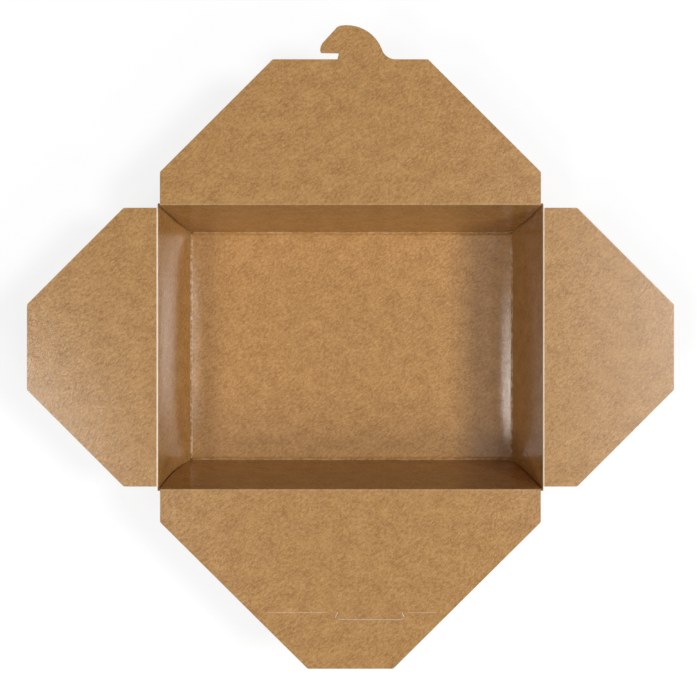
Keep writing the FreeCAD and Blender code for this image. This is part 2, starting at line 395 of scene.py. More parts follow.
# Columns of a corner on one face of the board
HAIRPIN_STEPS, WEB_FOLD_STEPS, END_FOLD_STEPS, WEB_STEPS = 12, 10, 8, 6
LONG_COLUMNS = 7  # of a corner, up to the middle of its hairpin, stand with the long wall
END_COLUMNS = 5  # of a corner, its last, stand with the end wall
SEAM_COLUMNS = range(2, 6)  # the edge of the long wall where it folds back
SEAM_HIGHLIGHT = 0.5  # share of the pale coating colour painted on that edge as its highlight
LONG_STEPS, END_STEPS = 44, 32  # columns along a wall
FOLD_ROWS, WALL_ROWS = 4, 24  # rows of the fold at the floor, and of the wall above it
FOLD_RISE = 0.4  # mm from the fold to the first row of the wall's food side

BOW_SCALE = 5.38  # brings the highest point of the bow's rule to 1
BOW_START, BOW_RUN = 50, 48  # mm from the box's middle to where the bow sets in, and its run-in
LONG_BOW_HALF = 110  # mm each way of the middle over which a long wall bows
LIFTED_HEIGHT = 15  # mm: up to here the walls go up with the ends of the floor


class Tray:
    """Where the board of the tray runs, from its sizes in millimetres."""

    def __init__(self):
        self.sizes = sizes_of(settings().tray)
        self.board = self.sizes["board"]
        self.half_board = self.board / 2
        self.pitch = self.board + self.sizes["layer_gap"]
        self.floor_half_length = self.sizes["floor_length"] / 2
        self.end_lean = (RIM_HALF_LENGTH - self.floor_half_length) / SIDE_RIM
        self.floor_half_width = self.half_width(0)

    def half_length(self, level):
        return self.floor_half_length + self.end_lean * level

    def half_width(self, level):
        return CREASE["tab_flap"].y + LONG_WALL_LEAN * (level - BACK_RIM)

    def web_length(self, level):
        """The folded web's length: its fold halves the angle between the two walls' end
        edges on the flat sheet."""
        slant = math.hypot(1, LONG_WALL_LEAN)
        long_lean = math.atan(self.end_lean / slant)
        end_lean = math.atan(LONG_WALL_LEAN / math.hypot(1, self.end_lean))
        inward = (QUARTER - long_lean - end_lean) / 2 - long_lean
        reach = math.tan(long_lean) + math.tan(inward)
        return self.sizes["web_root"] + level * slant * reach

    def drawn_in(self, level):
        """How far the outside draws in at the fold between the floor and a wall."""
        radius = self.sizes["fold_radius"]
        if level >= radius:
            return 0.0
        return radius - math.sqrt(radius**2 - (radius - level) ** 2)

    def corner(self, level, side):
        """One face of the board round a corner, as (u, v, family) from the long wall to the
        end wall: u along the box, v out from the long wall's board, and the wall whose
        part of the sheet it belongs to."""
        face = side * self.half_board
        inset = self.drawn_in(level) if side > 0 else 0.0
        pitch = self.pitch
        end = self.half_length(level) - inset - 1.5 * pitch
        fold = end - self.web_length(level)
        about = (end, pitch / 2)
        first = arc(about, pitch / 2 - face, -QUARTER, 2 * QUARTER, HAIRPIN_STEPS)
        second = arc(
            (fold, 1.5 * pitch), pitch / 2 + face, -QUARTER, -2 * QUARTER, WEB_FOLD_STEPS
        )
        third = arc(about, 1.5 * pitch + face, QUARTER, -QUARTER, END_FOLD_STEPS)
        long_part = first + stretch(first[-1], second[0], WEB_STEPS)
        end_part = second + stretch(second[-1], third[0], WEB_STEPS) + third
        run = [(u, v - inset, "long") for u, v in long_part]
        return run + [(u, v - inset, "end") for u, v in end_part]

    def on_sheet(self, level, u, v, family):
        """Place on the flat blank of a point of a wall, with the web laid flat beside it."""
        end = self.half_length(level) - 1.5 * self.pitch
        folded_back = max(0.0, end - u)
        if family == "long":
            if v > self.pitch / 2:
                u = end + folded_back
            return u, self.floor_half_width + level * math.hypot(1, LONG_WALL_LEAN)
        out = self.floor_half_length + level * math.hypot(1, self.end_lean)
        return out, self.half_width(level) + v + folded_back

    def columns(self, side, drop):
        """The columns of one face at the four corners, in their order round the box: each
        one's number in its corner, the corner's two signs and the height of its top."""
        families = [family for _, _, family in self.corner(1.0, side)]
        web = range(LONG_COLUMNS, len(families) - END_COLUMNS)
        made = []
        for right, back in ((1, -1), (1, 1), (-1, 1), (-1, -1)):
            tops = {"end": SIDE_RIM - drop, "long": (BACK_RIM if back > 0 else FRONT_RIM) - drop}
            run = []
            for index, family in enumerate(families):
                top = SIDE_RIM - self.sizes["web_drop"] if index in web else tops[family]
                run.append((index, right, back, top))
            made.append(run if right != back else run[::-1])
        return made

    def point(self, level, side, index, right, back):
        """A point of the board at a corner column, its place on the blank and its family."""
        u, v, family = self.corner(level, side)[index]
        place = self.on_sheet(level, u, v, family)
        y = self.half_width(level) + v
        return (right * u, back * y, level), (right * place[0], back * place[1], 0.0), family

    def sprung(self, x, y, level, family):
        """Where a point of the folded box comes to rest. The walls bow out, most a little
        below their middle, the corner seams open, and the floor's ends lift."""
        sizes = self.sizes
        height = level / SIDE_RIM
        bow = BOW_SCALE * height * (1 - min(1.0, height)) ** 1.5
        to_front = (1 - y / self.floor_half_width) / 2
        if x < 0:
            out = sizes["bow_back_left"]
            out += (sizes["bow_front_left"] - out) * min(1.0, max(0.0, to_front))
        else:
            out = sizes["bow_right"]
        if family == "long":
            out -= sizes["seam_opening"]
        near_end = min(1.0, max(0.0, (abs(x) - BOW_START) / BOW_RUN))
        moved_x = x + math.copysign(out * bow * near_end**2 * (3 - 2 * near_end), x)
        in_middle = math.cos(QUARTER * x / LONG_BOW_HALF) ** 2
        y += math.copysign(sizes["bow_long"] * bow * in_middle, y)
        settle = (1 - min(1.0, level / LIFTED_HEIGHT)) ** 2
        return moved_x, y, level + settle * self.end_lift(x, y)

    def end_lift(self, x, y):
        """How far an end fold of the floor has lifted at a place along it."""
        lift = self.sizes["lift_right" if x > 0 else "lift_left"]
        return lift * max(0.0, 1 - (y / self.floor_half_width) ** 4)


def row_levels(tray, side, top):
    """Heights of the rows of one face, from the fold at the floor up to a column's top."""
    radius = tray.sizes["fold_radius"]
    if side > 0:
        first = radius
        start = [radius * (i / FOLD_ROWS) ** 1.5 for i in range(FOLD_ROWS)]
    else:
        first = radius + FOLD_RISE
        rise = first - tray.board
        start = [tray.board + rise * i / FOLD_ROWS for i in range(FOLD_ROWS)]
    return start + [first + (top - first) * i / WALL_ROWS for i in range(WALL_ROWS + 1)]


def wall_face(tray, side, drop):
    """Rows of points on one face of the walls and webs, with their places on the blank and
    how much pale is painted there as a highlight along the seam edges."""
    runs = tray.columns(side, drop)
    rows = []
    for row in range(FOLD_ROWS + WALL_ROWS + 1):
        corners = []
        for run in runs:
            placed = []
            for index, right, back, top in run:
                level = row_levels(tray, side, top)[row]
                # The long wall's folded-back edge on the food side gets a painted highlight
                seam_highlight = SEAM_HIGHLIGHT if side < 0 and index in SEAM_COLUMNS else 0.0
                placed.append((*tray.point(level, side, index, right, back), seam_highlight))
            corners.append(placed)
        ring = []
        for i, placed in enumerate(corners):
            ring += placed
            steps, family = (END_STEPS, "end") if i % 2 == 0 else (LONG_STEPS, "long")
            p, p_blank, _, _ = placed[-1]
            q, q_blank, _, _ = corners[(i + 1) % 4][0]
            between = zip(stretch(p, q, steps), stretch(p_blank, q_blank, steps))
            ring += [(point, place, family, 0.0) for point, place in between]
        rows.append([(tray.sprung(*p, family), place, worn) for p, place, family, worn in ring])
    return rows


def make_walls(tray, drop):
    """Four walls and the folded webs at the corners, as one closed band of board."""
    both = (wall_face(tray, 1, drop), wall_face(tray, -1, drop))
    rows, count = len(both[0]), len(both[0][0])
    points, blank, worn = zip(*(spot for face in both for ring in face for spot in ring))

    def spot(side, row, column):
        return (side * rows + row) * count + column % count

    faces, skins = [], []
    for column in range(count):
        ahead = column + 1
        for row in range(rows - 1):
            quad = [(row, column), (row, ahead), (row + 1, ahead), (row + 1, column)]
            faces.append([spot(0, *place) for place in quad])
            faces.append([spot(1, *place) for place in reversed(quad)])
            skins += [OUTER, FOOD]
        for row, order in ((rows - 1, 1), (0, -1)):
            quad = [(0, row, column), (0, row, ahead), (1, row, ahead), (1, row, column)]
            faces.append([spot(*place) for place in quad[::order]])
            skins.append(CUT)
    return board_piece("tray_walls", points, faces, skins, blank, worn)


# What grows from geometry nodes: the floor and the beads along its folds

POSITION, MOVE = "GeometryNodeInputPosition", "GeometryNodeSetPosition"
STORE, DRESS = "GeometryNodeStoreNamedAttribute", "GeometryNodeSetMaterial"
CURL_INPUTS = dict.fromkeys(
    ("Half length", "Half width", "Left lift", "Right lift", "Left band", "Right band"), "Float"
)


def node_group(name, inputs):
    """An empty geometry nodes tree with named inputs, and the sockets that give them."""
    tree = bpy.data.node_groups.new(name, "GeometryNodeTree")
    for label, kind in inputs.items():
        tree.interface.new_socket(label, in_out="INPUT", socket_type="NodeSocket" + kind)
    tree.interface.new_socket("Board", in_out="OUTPUT", socket_type="NodeSocketGeometry")
    return tree, add_node(tree, "NodeGroupInput").outputs


def curl_values(tray):
    """Values for CURL_INPUTS, in metres."""
    sizes = settings().tray
    return {
        "Half length": tray.floor_half_length * MM,
        "Half width": tray.floor_half_width * MM,
        "Left lift": sizes.lift_left,
        "Right lift": sizes.lift_right,
        "Left band": sizes.band_left,
        "Right band": sizes.band_right,
    }


def curl(tree, given):
    """How far the floor curls up at each point, as an offset. It rises over a band before
    each end fold, most in the middle of the fold and not at all at the corners."""
    place = add_node(tree, "ShaderNodeSeparateXYZ", {0: add_node(tree, POSITION)}).outputs
    right = add_node(tree, MATH, {0: place["X"], 1: 0.0}, operation="GREATER_THAN")
    lift, band = (
        add_node(tree, MIX, {0: right, 2: given[f"Left {size}"], 3: given[f"Right {size}"]})
        for size in ("lift", "band")
    )
    share = add_node(tree, MATH, {0: place["Y"], 1: given["Half width"]}, operation="DIVIDE")
    even = add_node(tree, MATH, {0: share}, operation="ABSOLUTE")
    fourth = add_node(tree, MATH, {0: even, 1: 4.0}, operation="POWER")
    across = add_node(tree, MATH, {0: 1.0, 1: fourth}, operation="SUBTRACT", use_clamp=True)
    # The band has round ends, which come to nearly nothing at the corners
    over_zero = add_node(tree, MATH, {0: across, 1: 0.01}, operation="MAXIMUM")
    root = add_node(tree, MATH, {0: over_zero}, operation="SQRT")
    width = add_node(tree, MATH, {0: band, 1: root}, operation="MULTIPLY")
    from_middle = add_node(tree, MATH, {0: place["X"]}, operation="ABSOLUTE")
    to_fold = {0: given["Half length"], 1: from_middle}
    to_fold = add_node(tree, MATH, to_fold, operation="SUBTRACT")
    part = add_node(tree, MATH, {0: to_fold, 1: width}, operation="DIVIDE")
    t = add_node(tree, MATH, {0: 1.0, 1: part}, operation="SUBTRACT", use_clamp=True)
    # A soft start and then a nearly even slope: t * t * (1.6 - 0.6 * t)
    easing = add_node(tree, MATH, {0: t, 1: -0.6, 2: 1.6}, operation="MULTIPLY_ADD")
    rise = across
    for factor in (lift, t, t, easing):
        rise = add_node(tree, MATH, {0: rise, 1: factor}, operation="MULTIPLY")
    return add_node(tree, COMBINE, {"Z": rise})


def floor_tree():
    """Geometry nodes for the floor: a grid that curls up at its ends, given the thickness
    of the board, with the underside a little smaller so that it ends inside the folds."""
    sizes = dict.fromkeys(("Board thickness", "Edge inside the wall", "Underside share"), "Float")
    counts = {"Columns": "Int", "Rows": "Int"}
    tree, given = node_group("Curled floor", CURL_INPUTS | sizes | counts)
    grid = {2: given["Columns"], 3: given["Rows"]}
    for side, half in enumerate(("Half length", "Half width")):
        inner = {0: given[half], 1: given["Edge inside the wall"]}
        inner = add_node(tree, MATH, inner, operation="SUBTRACT")
        grid[side] = add_node(tree, MATH, {0: inner, 1: 2.0}, operation="MULTIPLY")
    here = add_node(tree, POSITION)
    millimetres = add_node(tree, VECTOR_MATH, {0: here, "Scale": 1 / MM}, operation="SCALE")
    marked = {0: add_node(tree, "GeometryNodeMeshGrid", grid), "Name": "blank"}
    marked = add_node(
        tree, STORE, marked | {"Value": millimetres}, data_type="FLOAT_VECTOR", domain="POINT"
    )
    curled = add_node(tree, MOVE, {0: marked, "Offset": curl(tree, given)})
    thickness = given["Board thickness"]
    upward = add_node(tree, COMBINE, {"Z": thickness})
    food_side = add_node(tree, MOVE, {0: curled, "Offset": upward})
    downward = add_node(tree, COMBINE, {"Z": -1.0})
    pulled = {0: food_side, "Offset": downward, "Offset Scale": thickness, "Individual": False}
    below = add_node(tree, "GeometryNodeExtrudeMesh", pulled, mode="FACES")
    underside, rim = below.outputs["Top"], below.outputs["Side"]
    smaller = given["Underside share"]
    smaller = add_node(tree, COMBINE, {"X": smaller, "Y": smaller, "Z": 1.0})
    drawn_in = add_node(tree, VECTOR_MATH, {0: here, 1: smaller}, operation="MULTIPLY")
    shrunk = add_node(tree, MOVE, {0: below, "Selection": underside, "Position": drawn_in})
    outward = add_node(tree, "GeometryNodeFlipFaces", {0: shrunk})
    both = add_node(tree, "GeometryNodeJoinGeometry", {0: food_side})
    tree.links.new(outward.outputs[0], both.inputs[0])
    closed = add_node(tree, "GeometryNodeMergeByDistance", {0: both, "Distance": 0.01 * MM})
    smooth = add_node(tree, "GeometryNodeSetShadeSmooth", {0: closed, "Shade Smooth": True})
    dressed = add_node(tree, "GeometryNodeRealizeInstances", {0: smooth})
    for part, material in zip((True, underside, rim), board_materials()):
        inputs = {0: dressed, "Selection": part, "Material": material}
        dressed = add_node(tree, DRESS, inputs)
    add_node(tree, "NodeGroupOutput", {0: dressed})
    return tree


def bead_tree():
    """Geometry nodes that sweep a bead of pressed board along a path. It swells and
    shrinks a little, because the coating crackles as the board is folded."""
    sizes = dict.fromkeys(("Bead radius", "Step", "Crackle", "Wear"), "Float")
    tree, given = node_group(
        "Score bead", {"Path": "Geometry"} | CURL_INPUTS | sizes | {"Seed": "Int"}
    )
    laid = add_node(tree, MOVE, {0: given["Path"], "Offset": curl(tree, given)})
    path = add_node(tree, "GeometryNodeMeshToCurve", {0: laid})
    path = add_node(
        tree, "GeometryNodeResampleCurve", {0: path, "Length": given["Step"]}, mode="LENGTH"
    )
    place = add_node(tree, POSITION)
    millimetres = add_node(tree, VECTOR_MATH, {0: place, "Scale": 1 / MM}, operation="SCALE")
    noise = {"Vector": millimetres, "W": given["Seed"], "Scale": 0.45, "Detail": 1.0}
    noise = add_node(tree, NOISE, noise, noise_dimensions="4D")
    swell = add_node(tree, MAP_RANGE, {0: noise, 1: 0.3, 2: 0.7, 3: -1.0, 4: 1.0})
    swell = {0: swell, 1: given["Crackle"], 2: 1.0}
    swell = add_node(tree, MATH, swell, operation="MULTIPLY_ADD")
    path = add_node(tree, "GeometryNodeSetCurveRadius", {0: path, "Radius": swell})
    ring = {"Resolution": 10, "Radius": given["Bead radius"]}
    ring = add_node(tree, "GeometryNodeCurvePrimitiveCircle", ring)
    swept = {0: path, "Profile Curve": ring, "Fill Caps": True}
    kept = add_node(tree, "GeometryNodeCurveToMesh", swept)
    # Dashes of the pale coating colour: crackled coating, and painted glints along the bead
    crackle_and_glint = add_node(tree, MAP_RANGE, {0: noise, 1: 0.45, 2: 0.6, 3: 0.1, 4: 1.0})
    worn = add_node(tree, MATH, {0: crackle_and_glint, 1: given["Wear"]}, operation="MULTIPLY")
    for name, value, kind in (("blank", millimetres, "FLOAT_VECTOR"), ("worn", worn, "FLOAT")):
        stored = {0: kept, "Name": name, "Value": value}
        kept = add_node(tree, STORE, stored, data_type=kind, domain="POINT")
    whole = add_node(tree, "GeometryNodeRealizeInstances", {0: kept})
    dressed = add_node(tree, DRESS, {0: whole, "Material": board_materials()[FOOD]})
    add_node(tree, "NodeGroupOutput", {0: dressed})
    return tree


BEAD_STOP = 1.2  # mm that a bead ends short of the corner
BEAD_PARTS = 60  # of a bead's path, so that it follows the curl of the floor


def bead_paths(tray, inset, height, along_ends):
    """Two opposite folds of the floor, drawn in by inset, at a height on the flat floor."""
    half_x = tray.floor_half_length - tray.half_board - inset
    half_y = tray.floor_half_width - tray.half_board - inset
    stop = BEAD_STOP + inset
    points, edges = [], []
    for side in (-1, 1):
        if along_ends:
            a, b = (side * half_x, -half_y + stop), (side * half_x, half_y - stop)
        else:
            a, b = (-half_x + stop, side * half_y), (half_x - stop, side * half_y)
        line = [(x * MM, y * MM, height * MM) for x, y in (a, *stretch(a, b, BEAD_PARTS), b)]
        add_line(points, edges, line)
    return points, edges


def add_line(points, edges, line, closed=False):
    """Adds a line of points with the edges along it, and tells the points' numbers."""
    first = len(points)
    points += line
    last = len(line) if closed else len(line) - 1
    edges += [(first + i, first + (i + 1) % len(line)) for i in range(last)]
    return range(first, len(points))


def grown(name, points, edges, tree, values):
    """A mesh grown by a geometry nodes tree, as a plain object."""
    mesh = bpy.data.meshes.new(name)
    mesh.from_pydata(points, edges, [])
    piece = bpy.data.objects.new(name, mesh)
    bpy.context.scene.collection.objects.link(piece)
    modifier = piece.modifiers.new(tree.name, "NODES")
    modifier.node_group = tree
    for item in tree.interface.items_tree:
        if item.name in values:
            modifier[item.identifier] = values[item.name]
    bpy.context.view_layer.update()
    evaluated = piece.evaluated_get(bpy.context.evaluated_depsgraph_get())
    result = bpy.data.meshes.new_from_object(evaluated)
    if result.materials[0] is None:  # a grid brings an empty slot along
        result.materials.pop(index=0)
    piece.modifiers.remove(modifier)
    piece.data = result
    return piece


# Lid flaps


class FlapPlan:
    """A lid flap on the flat, in mm: x runs along its crease and y out from it."""

    def __init__(self, name, sizes, length, along, out, lean):
        kind = "side" if out[0] else name.removesuffix("_flap")
        self.name = name
        self.base = span(name, 1 if out[0] else 0)
        self.shoulder = sizes[kind + "_shoulder"]
        self.edge = sizes[kind + "_edge"]
        self.length = length
        self.along = Vector(along)
        self.out = Vector(out)
        self.lean = lean  # of the wall that carries it
        self.crease_wear_and_glint = 1.0 if out[0] else 0.1  # the side creases are painted pale, as whitened coating and as their highlight from the side lamps; the front and back ones only faintly
        self.far_side = []  # what stands on the outer edge, from right to left
        self.holes = []
        self.grooves = []


def rounded(before, corner, after, radius, steps=6):
    """Points of the arc that rounds a corner of an outline."""
    here = Vector(corner)
    into = (Vector(before) - here).normalized()
    out_of = (Vector(after) - here).normalized()
    half_angle = into.angle(out_of) / 2
    middle = (into + out_of).normalized()
    centre = here + middle * (radius / math.sin(half_angle))
    start = here + into * (radius / math.tan(half_angle)) - centre
    end = here + out_of * (radius / math.tan(half_angle)) - centre
    first = math.atan2(start.y, start.x)
    return arc(centre, radius, first, -start.angle_signed(end), steps)


def flap_outline(plan, sizes, start):
    """The flap's outline from the right end of its crease round to the left end."""
    half_base, half_edge = plan.base / 2, plan.edge / 2
    right = [(half_base, start), (half_base, plan.shoulder), (half_edge, plan.length)]
    corners = right + [(-x, y) for x, y in reversed(right)]
    arcs = []
    for i, where in enumerate(("shoulder", "edge", "edge", "shoulder")):
        arcs.append(rounded(*corners[i : i + 3], sizes[where + "_radius"]))
    return arcs[0] + arcs[1] + plan.far_side + arcs[2] + arcs[3]


def soft_arc(a, b, bulge, steps):
    """Points from a to b, bulging to the left of the way by a share of its length."""
    ax, ay = a
    bx, by = b
    made = []
    for i in range(steps + 1):
        t = i / steps
        lift = 4 * bulge * t * (1 - t)
        made.append((ax + (bx - ax) * t - (by - ay) * lift, ay + (by - ay) * t + (bx - ax) * lift))
    return made


def hooked_tab(length):
    """The tab on the back flap, from its right root round its head to its hook and its
    left root. x from the middle of the flap, and rise from the flap's edge."""
    reach, head_radius, head_x, fillet = 18.98, 20.9, -2.0, 8.0
    neck_x, neck_lean, notch = -7.3, 0.9, 3.3
    tip, nose = (-16.8, 4.6), 0.4
    knee, brow, crown_x = (-14.4, 10.25), (-8.5, 16.7), -5.0
    head_rise = reach - head_radius
    centres = head_radius + fillet
    fillet_x = head_x + math.sqrt(centres**2 - (fillet - head_rise) ** 2)
    contact = math.atan2(fillet - head_rise, fillet_x - head_x)
    crown_rise = head_rise + math.sqrt(head_radius**2 - (crown_x - head_x) ** 2)
    crown_angle = math.atan2(crown_rise - head_rise, crown_x - head_x)
    points = arc((fillet_x, fillet), fillet, -QUARTER, contact - QUARTER, 10)
    points += arc((head_x, head_rise), head_radius, contact, crown_angle - contact, 20)[1:]
    points += soft_arc((crown_x, crown_rise), brow, -0.12, 4)[1:]
    points += soft_arc(knee, tip, -0.12, 6)
    points += [(tip[0] + nose, notch + nose / 2), (neck_x + neck_lean, notch), (neck_x, 0.0)]
    return [(x, length + rise) for x, rise in points]


def kerf(points, width):
    """The outline of a narrow cut along a line of points."""
    sides = ([], [])
    for i, (x, y) in enumerate(points):
        before = Vector(points[max(i - 1, 0)])
        after = Vector(points[min(i + 1, len(points) - 1)])
        along = (after - before).normalized()
        aside = Vector((-along.y, along.x)) * (width / 2)
        sides[0].append((x + aside.x, y + aside.y))
        sides[1].append((x - aside.x, y - aside.y))
    return sides[0] + sides[1][::-1]


def slit_line(out_to):
    """The slit that takes the tab, with a small jog at each end, in mm on the flap."""
    left, right, jog_back, jog_side = -5.9, 28.7, 4.0, 2.6
    return [
        (left - jog_side / 2, out_to - jog_back),
        (left - jog_side, out_to - jog_back / 4),
        (left, out_to),
        (right, out_to),
        (right + jog_side / 2, out_to - jog_back / 3),
        (right, out_to - jog_back),
    ]


def inside(point, outline):
    """Whether a point is inside a closed outline."""
    x, y = point
    crossed = False
    for (ax, ay), (bx, by) in zip(outline, outline[1:] + outline[:1]):
        if (ay > y) != (by > y) and x < (bx - ax) * (y - ay) / (by - ay) + ax:
            crossed = not crossed
    return crossed


def from_edge(point, outline):
    """Distance from a point to the nearest side of an outline."""
    here = Vector(point)
    nearest = math.inf
    for a, b in zip(outline, outline[1:] + outline[:1]):
        a, b = Vector(a), Vector(b)
        along = b - a
        share = min(1.0, max(0.0, (here - a).dot(along) / max(along.length_squared, 1e-9)))
        nearest = min(nearest, (here - (a + along * share)).length)
    return nearest


FIELD = 7.0  # mm between the inner points of a flap's mesh
FIELD_COLUMNS = range(-40, 41)  # enough for the widest flap
ROW_PITCH = FIELD * 0.87  # mm, for nearly even triangles
TAB_ROWS = 4  # beyond a flap's edge, to fill the tab
CUT_CLEARANCE = 1.0  # mm from an inner point to a cut or a crease
GROOVE_STEPS = 12
GROOVE_WEAR_AND_GLINT = 0.35  # pale painted on the pressed creases beside the slit: whitened coating and a painted highlight along each
PLAIN_CREASE_ROWS = 3  # of a lid crease's profile, below which no pale of whitened coating or painted highlight is laid
CREASE_COLUMNS = 72
ARC_ROWS = 8


def field(plan, start, outline):
    """The inner points of a flap, clear of its outline, cuts and creases."""
    spots = []
    for j in range(1, int(plan.length / ROW_PITCH) + TAB_ROWS):
        for i in FIELD_COLUMNS:
            spot = ((i + 0.5 * (j % 2)) * FIELD, start + j * ROW_PITCH)
            clear = inside(spot, outline) and from_edge(spot, outline) > FIELD / 3
            clear = clear and all(from_edge(spot, hole) > CUT_CLEARANCE for hole in plan.holes)
            if clear and all(abs(spot[1] - a[1]) > CUT_CLEARANCE for a, _ in plan.grooves):
                spots.append(spot)
    return spots


def flat_mesh(plan, sizes, columns):
    """The flat of a flap as points, triangles and, for each point, how far it is pressed
    in by a crease, with the numbers of the points along the foot of the flat."""
    start = sizes["plate_start"]
    outline = [(x, start) for x in columns] + flap_outline(plan, sizes, start)
    points, edges, depth = [], [], {}
    for line in (outline, *plan.holes):
        add_line(points, edges, line, closed=True)
    half = sizes["crease_width"] / 2
    for (ax, y), (bx, _) in plan.grooves:
        tip = math.copysign(half, bx - ax)
        middle = [(ax, y), *stretch((ax + tip, y), (bx - tip, y), GROOVE_STEPS), (bx, y)]
        for aside in (half, -half):
            side = [(x, y + aside) for x, _ in middle[1:-1]]
            add_line(points, edges, [middle[0], *side, middle[-1]])
        for i in add_line(points, edges, middle)[1:-1]:
            depth[i] = sizes["crease_depth"]
    points += field(plan, start, outline)
    made, _, triangles, origins, _, _ = delaunay_2d_cdt(
        [Vector(p) for p in points], edges, [], 1, 1e-5
    )
    faces = []
    for face in triangles:
        middle = (made[face[0]] + made[face[1]] + made[face[2]]) / 3
        if not any(inside(middle, hole) for hole in plan.holes):
            faces.append(list(face))
    found = {}
    pressed = [0.0] * len(made)
    for new, olds in enumerate(origins):
        for old in olds:
            found[old] = new
            pressed[new] = max(pressed[new], depth.get(old, 0.0))
    return [tuple(p) for p in made], faces, pressed, [found[i] for i in range(len(columns))]


def crease_profile(plan, sizes, board):
    """Cross-section of a lid crease, as ((out, up) on the food side, (out, up) on the
    outer side, distance on the blank) from the wall's top to the foot of the flat."""
    half = board / 2
    drop, inner = sizes["seam_drop"], sizes["fold_inside"]
    wall_angle = math.atan(plan.lean)
    centre_up = -half - inner
    centre_out = (half + inner + centre_up * math.sin(wall_angle)) / math.cos(wall_angle)
    profile = [((-plan.lean * drop - half, -drop), (-plan.lean * drop + half, -drop), -drop)]
    first, last = math.pi - wall_angle, QUARTER
    middle_radius = inner + half
    for i in range(ARC_ROWS + 1):
        a = first + (last - first) * i / ARC_ROWS
        across = [
            (centre_out + r * math.cos(a), centre_up + r * math.sin(a))
            for r in (inner + board, inner)
        ]
        profile.append((*across, (first - a) * middle_radius - middle_radius / 2))
    for share in (0.5, 1.0):
        out = centre_out + (sizes["plate_start"] - centre_out) * share
        profile.append(((out, half), (out, -half), out))
    return profile


def flap_sheet(plan, sizes, board):
    """A flap with its crease, laid flat: each point as (x, food side, outer side, distance
    out on the blank, pale of whitened coating and painted highlight), the faces, and the
    points where it joins the wall."""
    half = board / 2
    columns = list(np.linspace(-plan.base / 2, plan.base / 2, CREASE_COLUMNS + 1))
    flat, faces, pressed, foot = flat_mesh(plan, sizes, columns)
    sheet = [
        (x, (y, half - d), (y, -half - d), y, GROOVE_WEAR_AND_GLINT if d else 0.0)
        for (x, y), d in zip(flat, pressed)
    ]
    rows = []
    for level, (food, outer, distance) in enumerate(crease_profile(plan, sizes, board)[:-1]):
        # The crease rows above the wall's top are painted pale: whitened coating and a painted
        # highlight
        worn = plan.crease_wear_and_glint if level >= PLAIN_CREASE_ROWS else 0.0
        rows.append(range(len(sheet), len(sheet) + len(columns)))
        sheet += [(x, food, outer, distance, worn) for x in columns]
    for low, high in zip(rows, [*rows[1:], foot]):
        for i in range(len(columns) - 1):
            faces.append([low[i], low[i + 1], high[i + 1], high[i]])
    for face in faces:
        corners = [(sheet[i][0], sheet[i][3]) for i in face]
        ahead = corners[1:] + corners[:1]
        if sum(ax * by - bx * ay for (ax, ay), (bx, by) in zip(corners, ahead)) < 0:
            face.reverse()
    return sheet, faces, rows[0]


def border_of(sheet, faces, joined):
    """The free sides of a sheet's faces, and the way inwards at each of their points. The
    joined points keep their height."""
    sides = {(a, b) for face in faces for a, b in zip(face, face[1:] + face[:1])}
    border = sorted((a, b) for a, b in sides if (b, a) not in sides)
    inward = {}
    for a, b in border:
        (ax, *_, ay, _), (bx, *_, by, _) = sheet[a], sheet[b]
        along = Vector((bx - ax, by - ay)).normalized()
        for i in (a, b):
            inward[i] = inward.get(i, Vector((0, 0))) + Vector((-along.y, along.x))
    for i, way in inward.items():
        way.normalize()
        if i in joined:
            way.y = 0.0
    return border, inward


def make_flap(plan, sizes, board, start_on_blank):
    """A lid flap with the crease that joins it to its wall, as one closed sheet of board."""
    sheet, faces, joined = flap_sheet(plan, sizes, board)
    border, inward = border_of(sheet, faces, joined)
    points, blank, worn = [], [], []

    def place(i, offset, share):
        """share runs from 0 at the food side to 1 at the outer side."""
        x, food, outer, distance, wear_and_glint_share = sheet[i]
        out, up = (a + (b - a) * share for a, b in zip(food, outer))
        along = plan.along * (x + offset.x)
        points.append(CREASE[plan.name] + along + plan.out * (out + offset.y) + UP * up)
        blank.append((along + plan.out * (start_on_blank + distance)).to_tuple())
        worn.append(wear_and_glint_share)
        return len(points) - 1

    soft = sizes["edge_round"]
    still = Vector((0, 0))
    food_side, outer_side, upper_rim, lower_rim = {}, {}, {}, {}
    for i in range(len(sheet)):
        shift = inward.get(i, still) * soft
        food_side[i] = place(i, shift, 0.0)
        outer_side[i] = place(i, shift, 1.0)
        if i in inward:
            upper_rim[i] = place(i, still, soft / board)
            lower_rim[i] = place(i, still, 1 - soft / board)
    polygons, skins = [], []
    for face in faces:
        polygons.append([food_side[i] for i in face])
        polygons.append([outer_side[i] for i in reversed(face)])
        skins += [FOOD, OUTER]
    layers = (food_side, upper_rim, lower_rim, outer_side)
    for a, b in border:
        for top, bottom in zip(layers, layers[1:]):
            polygons.append([top[b], top[a], bottom[a], bottom[b]])
            skins.append(CUT)
    if plan.along.cross(plan.out).z < 0:
        polygons = [p[::-1] for p in polygons]
    return board_piece(plan.name + "_board", points, polygons, skins, blank, worn)


def hang_flap(piece, plan):
    """Bakes a flap's board into place and hides the part of model.glb that it stands for."""
    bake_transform(piece)
    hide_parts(plan.name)


def build_flap(plan, sizes):
    tray = Tray()
    on_blank = tray.floor_half_width if plan.out.y else tray.floor_half_length
    on_blank += CREASE[plan.name].z * math.hypot(1, plan.lean)
    hang_flap(make_flap(plan, sizes, tray.board, on_blank), plan)


# Operators


class TAKEAWAY_OT_tray_walls(bpy.types.Operator):
    """Make the four leaning walls and the folded webs at the corners"""

    bl_idname = "takeaway.tray_walls"
    bl_label = "Tray walls"

    def execute(self, context):
        piece = make_walls(Tray(), settings().flaps.seam_drop / MM)
        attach(piece, "tray")
        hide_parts("tray")
        return {"FINISHED"}


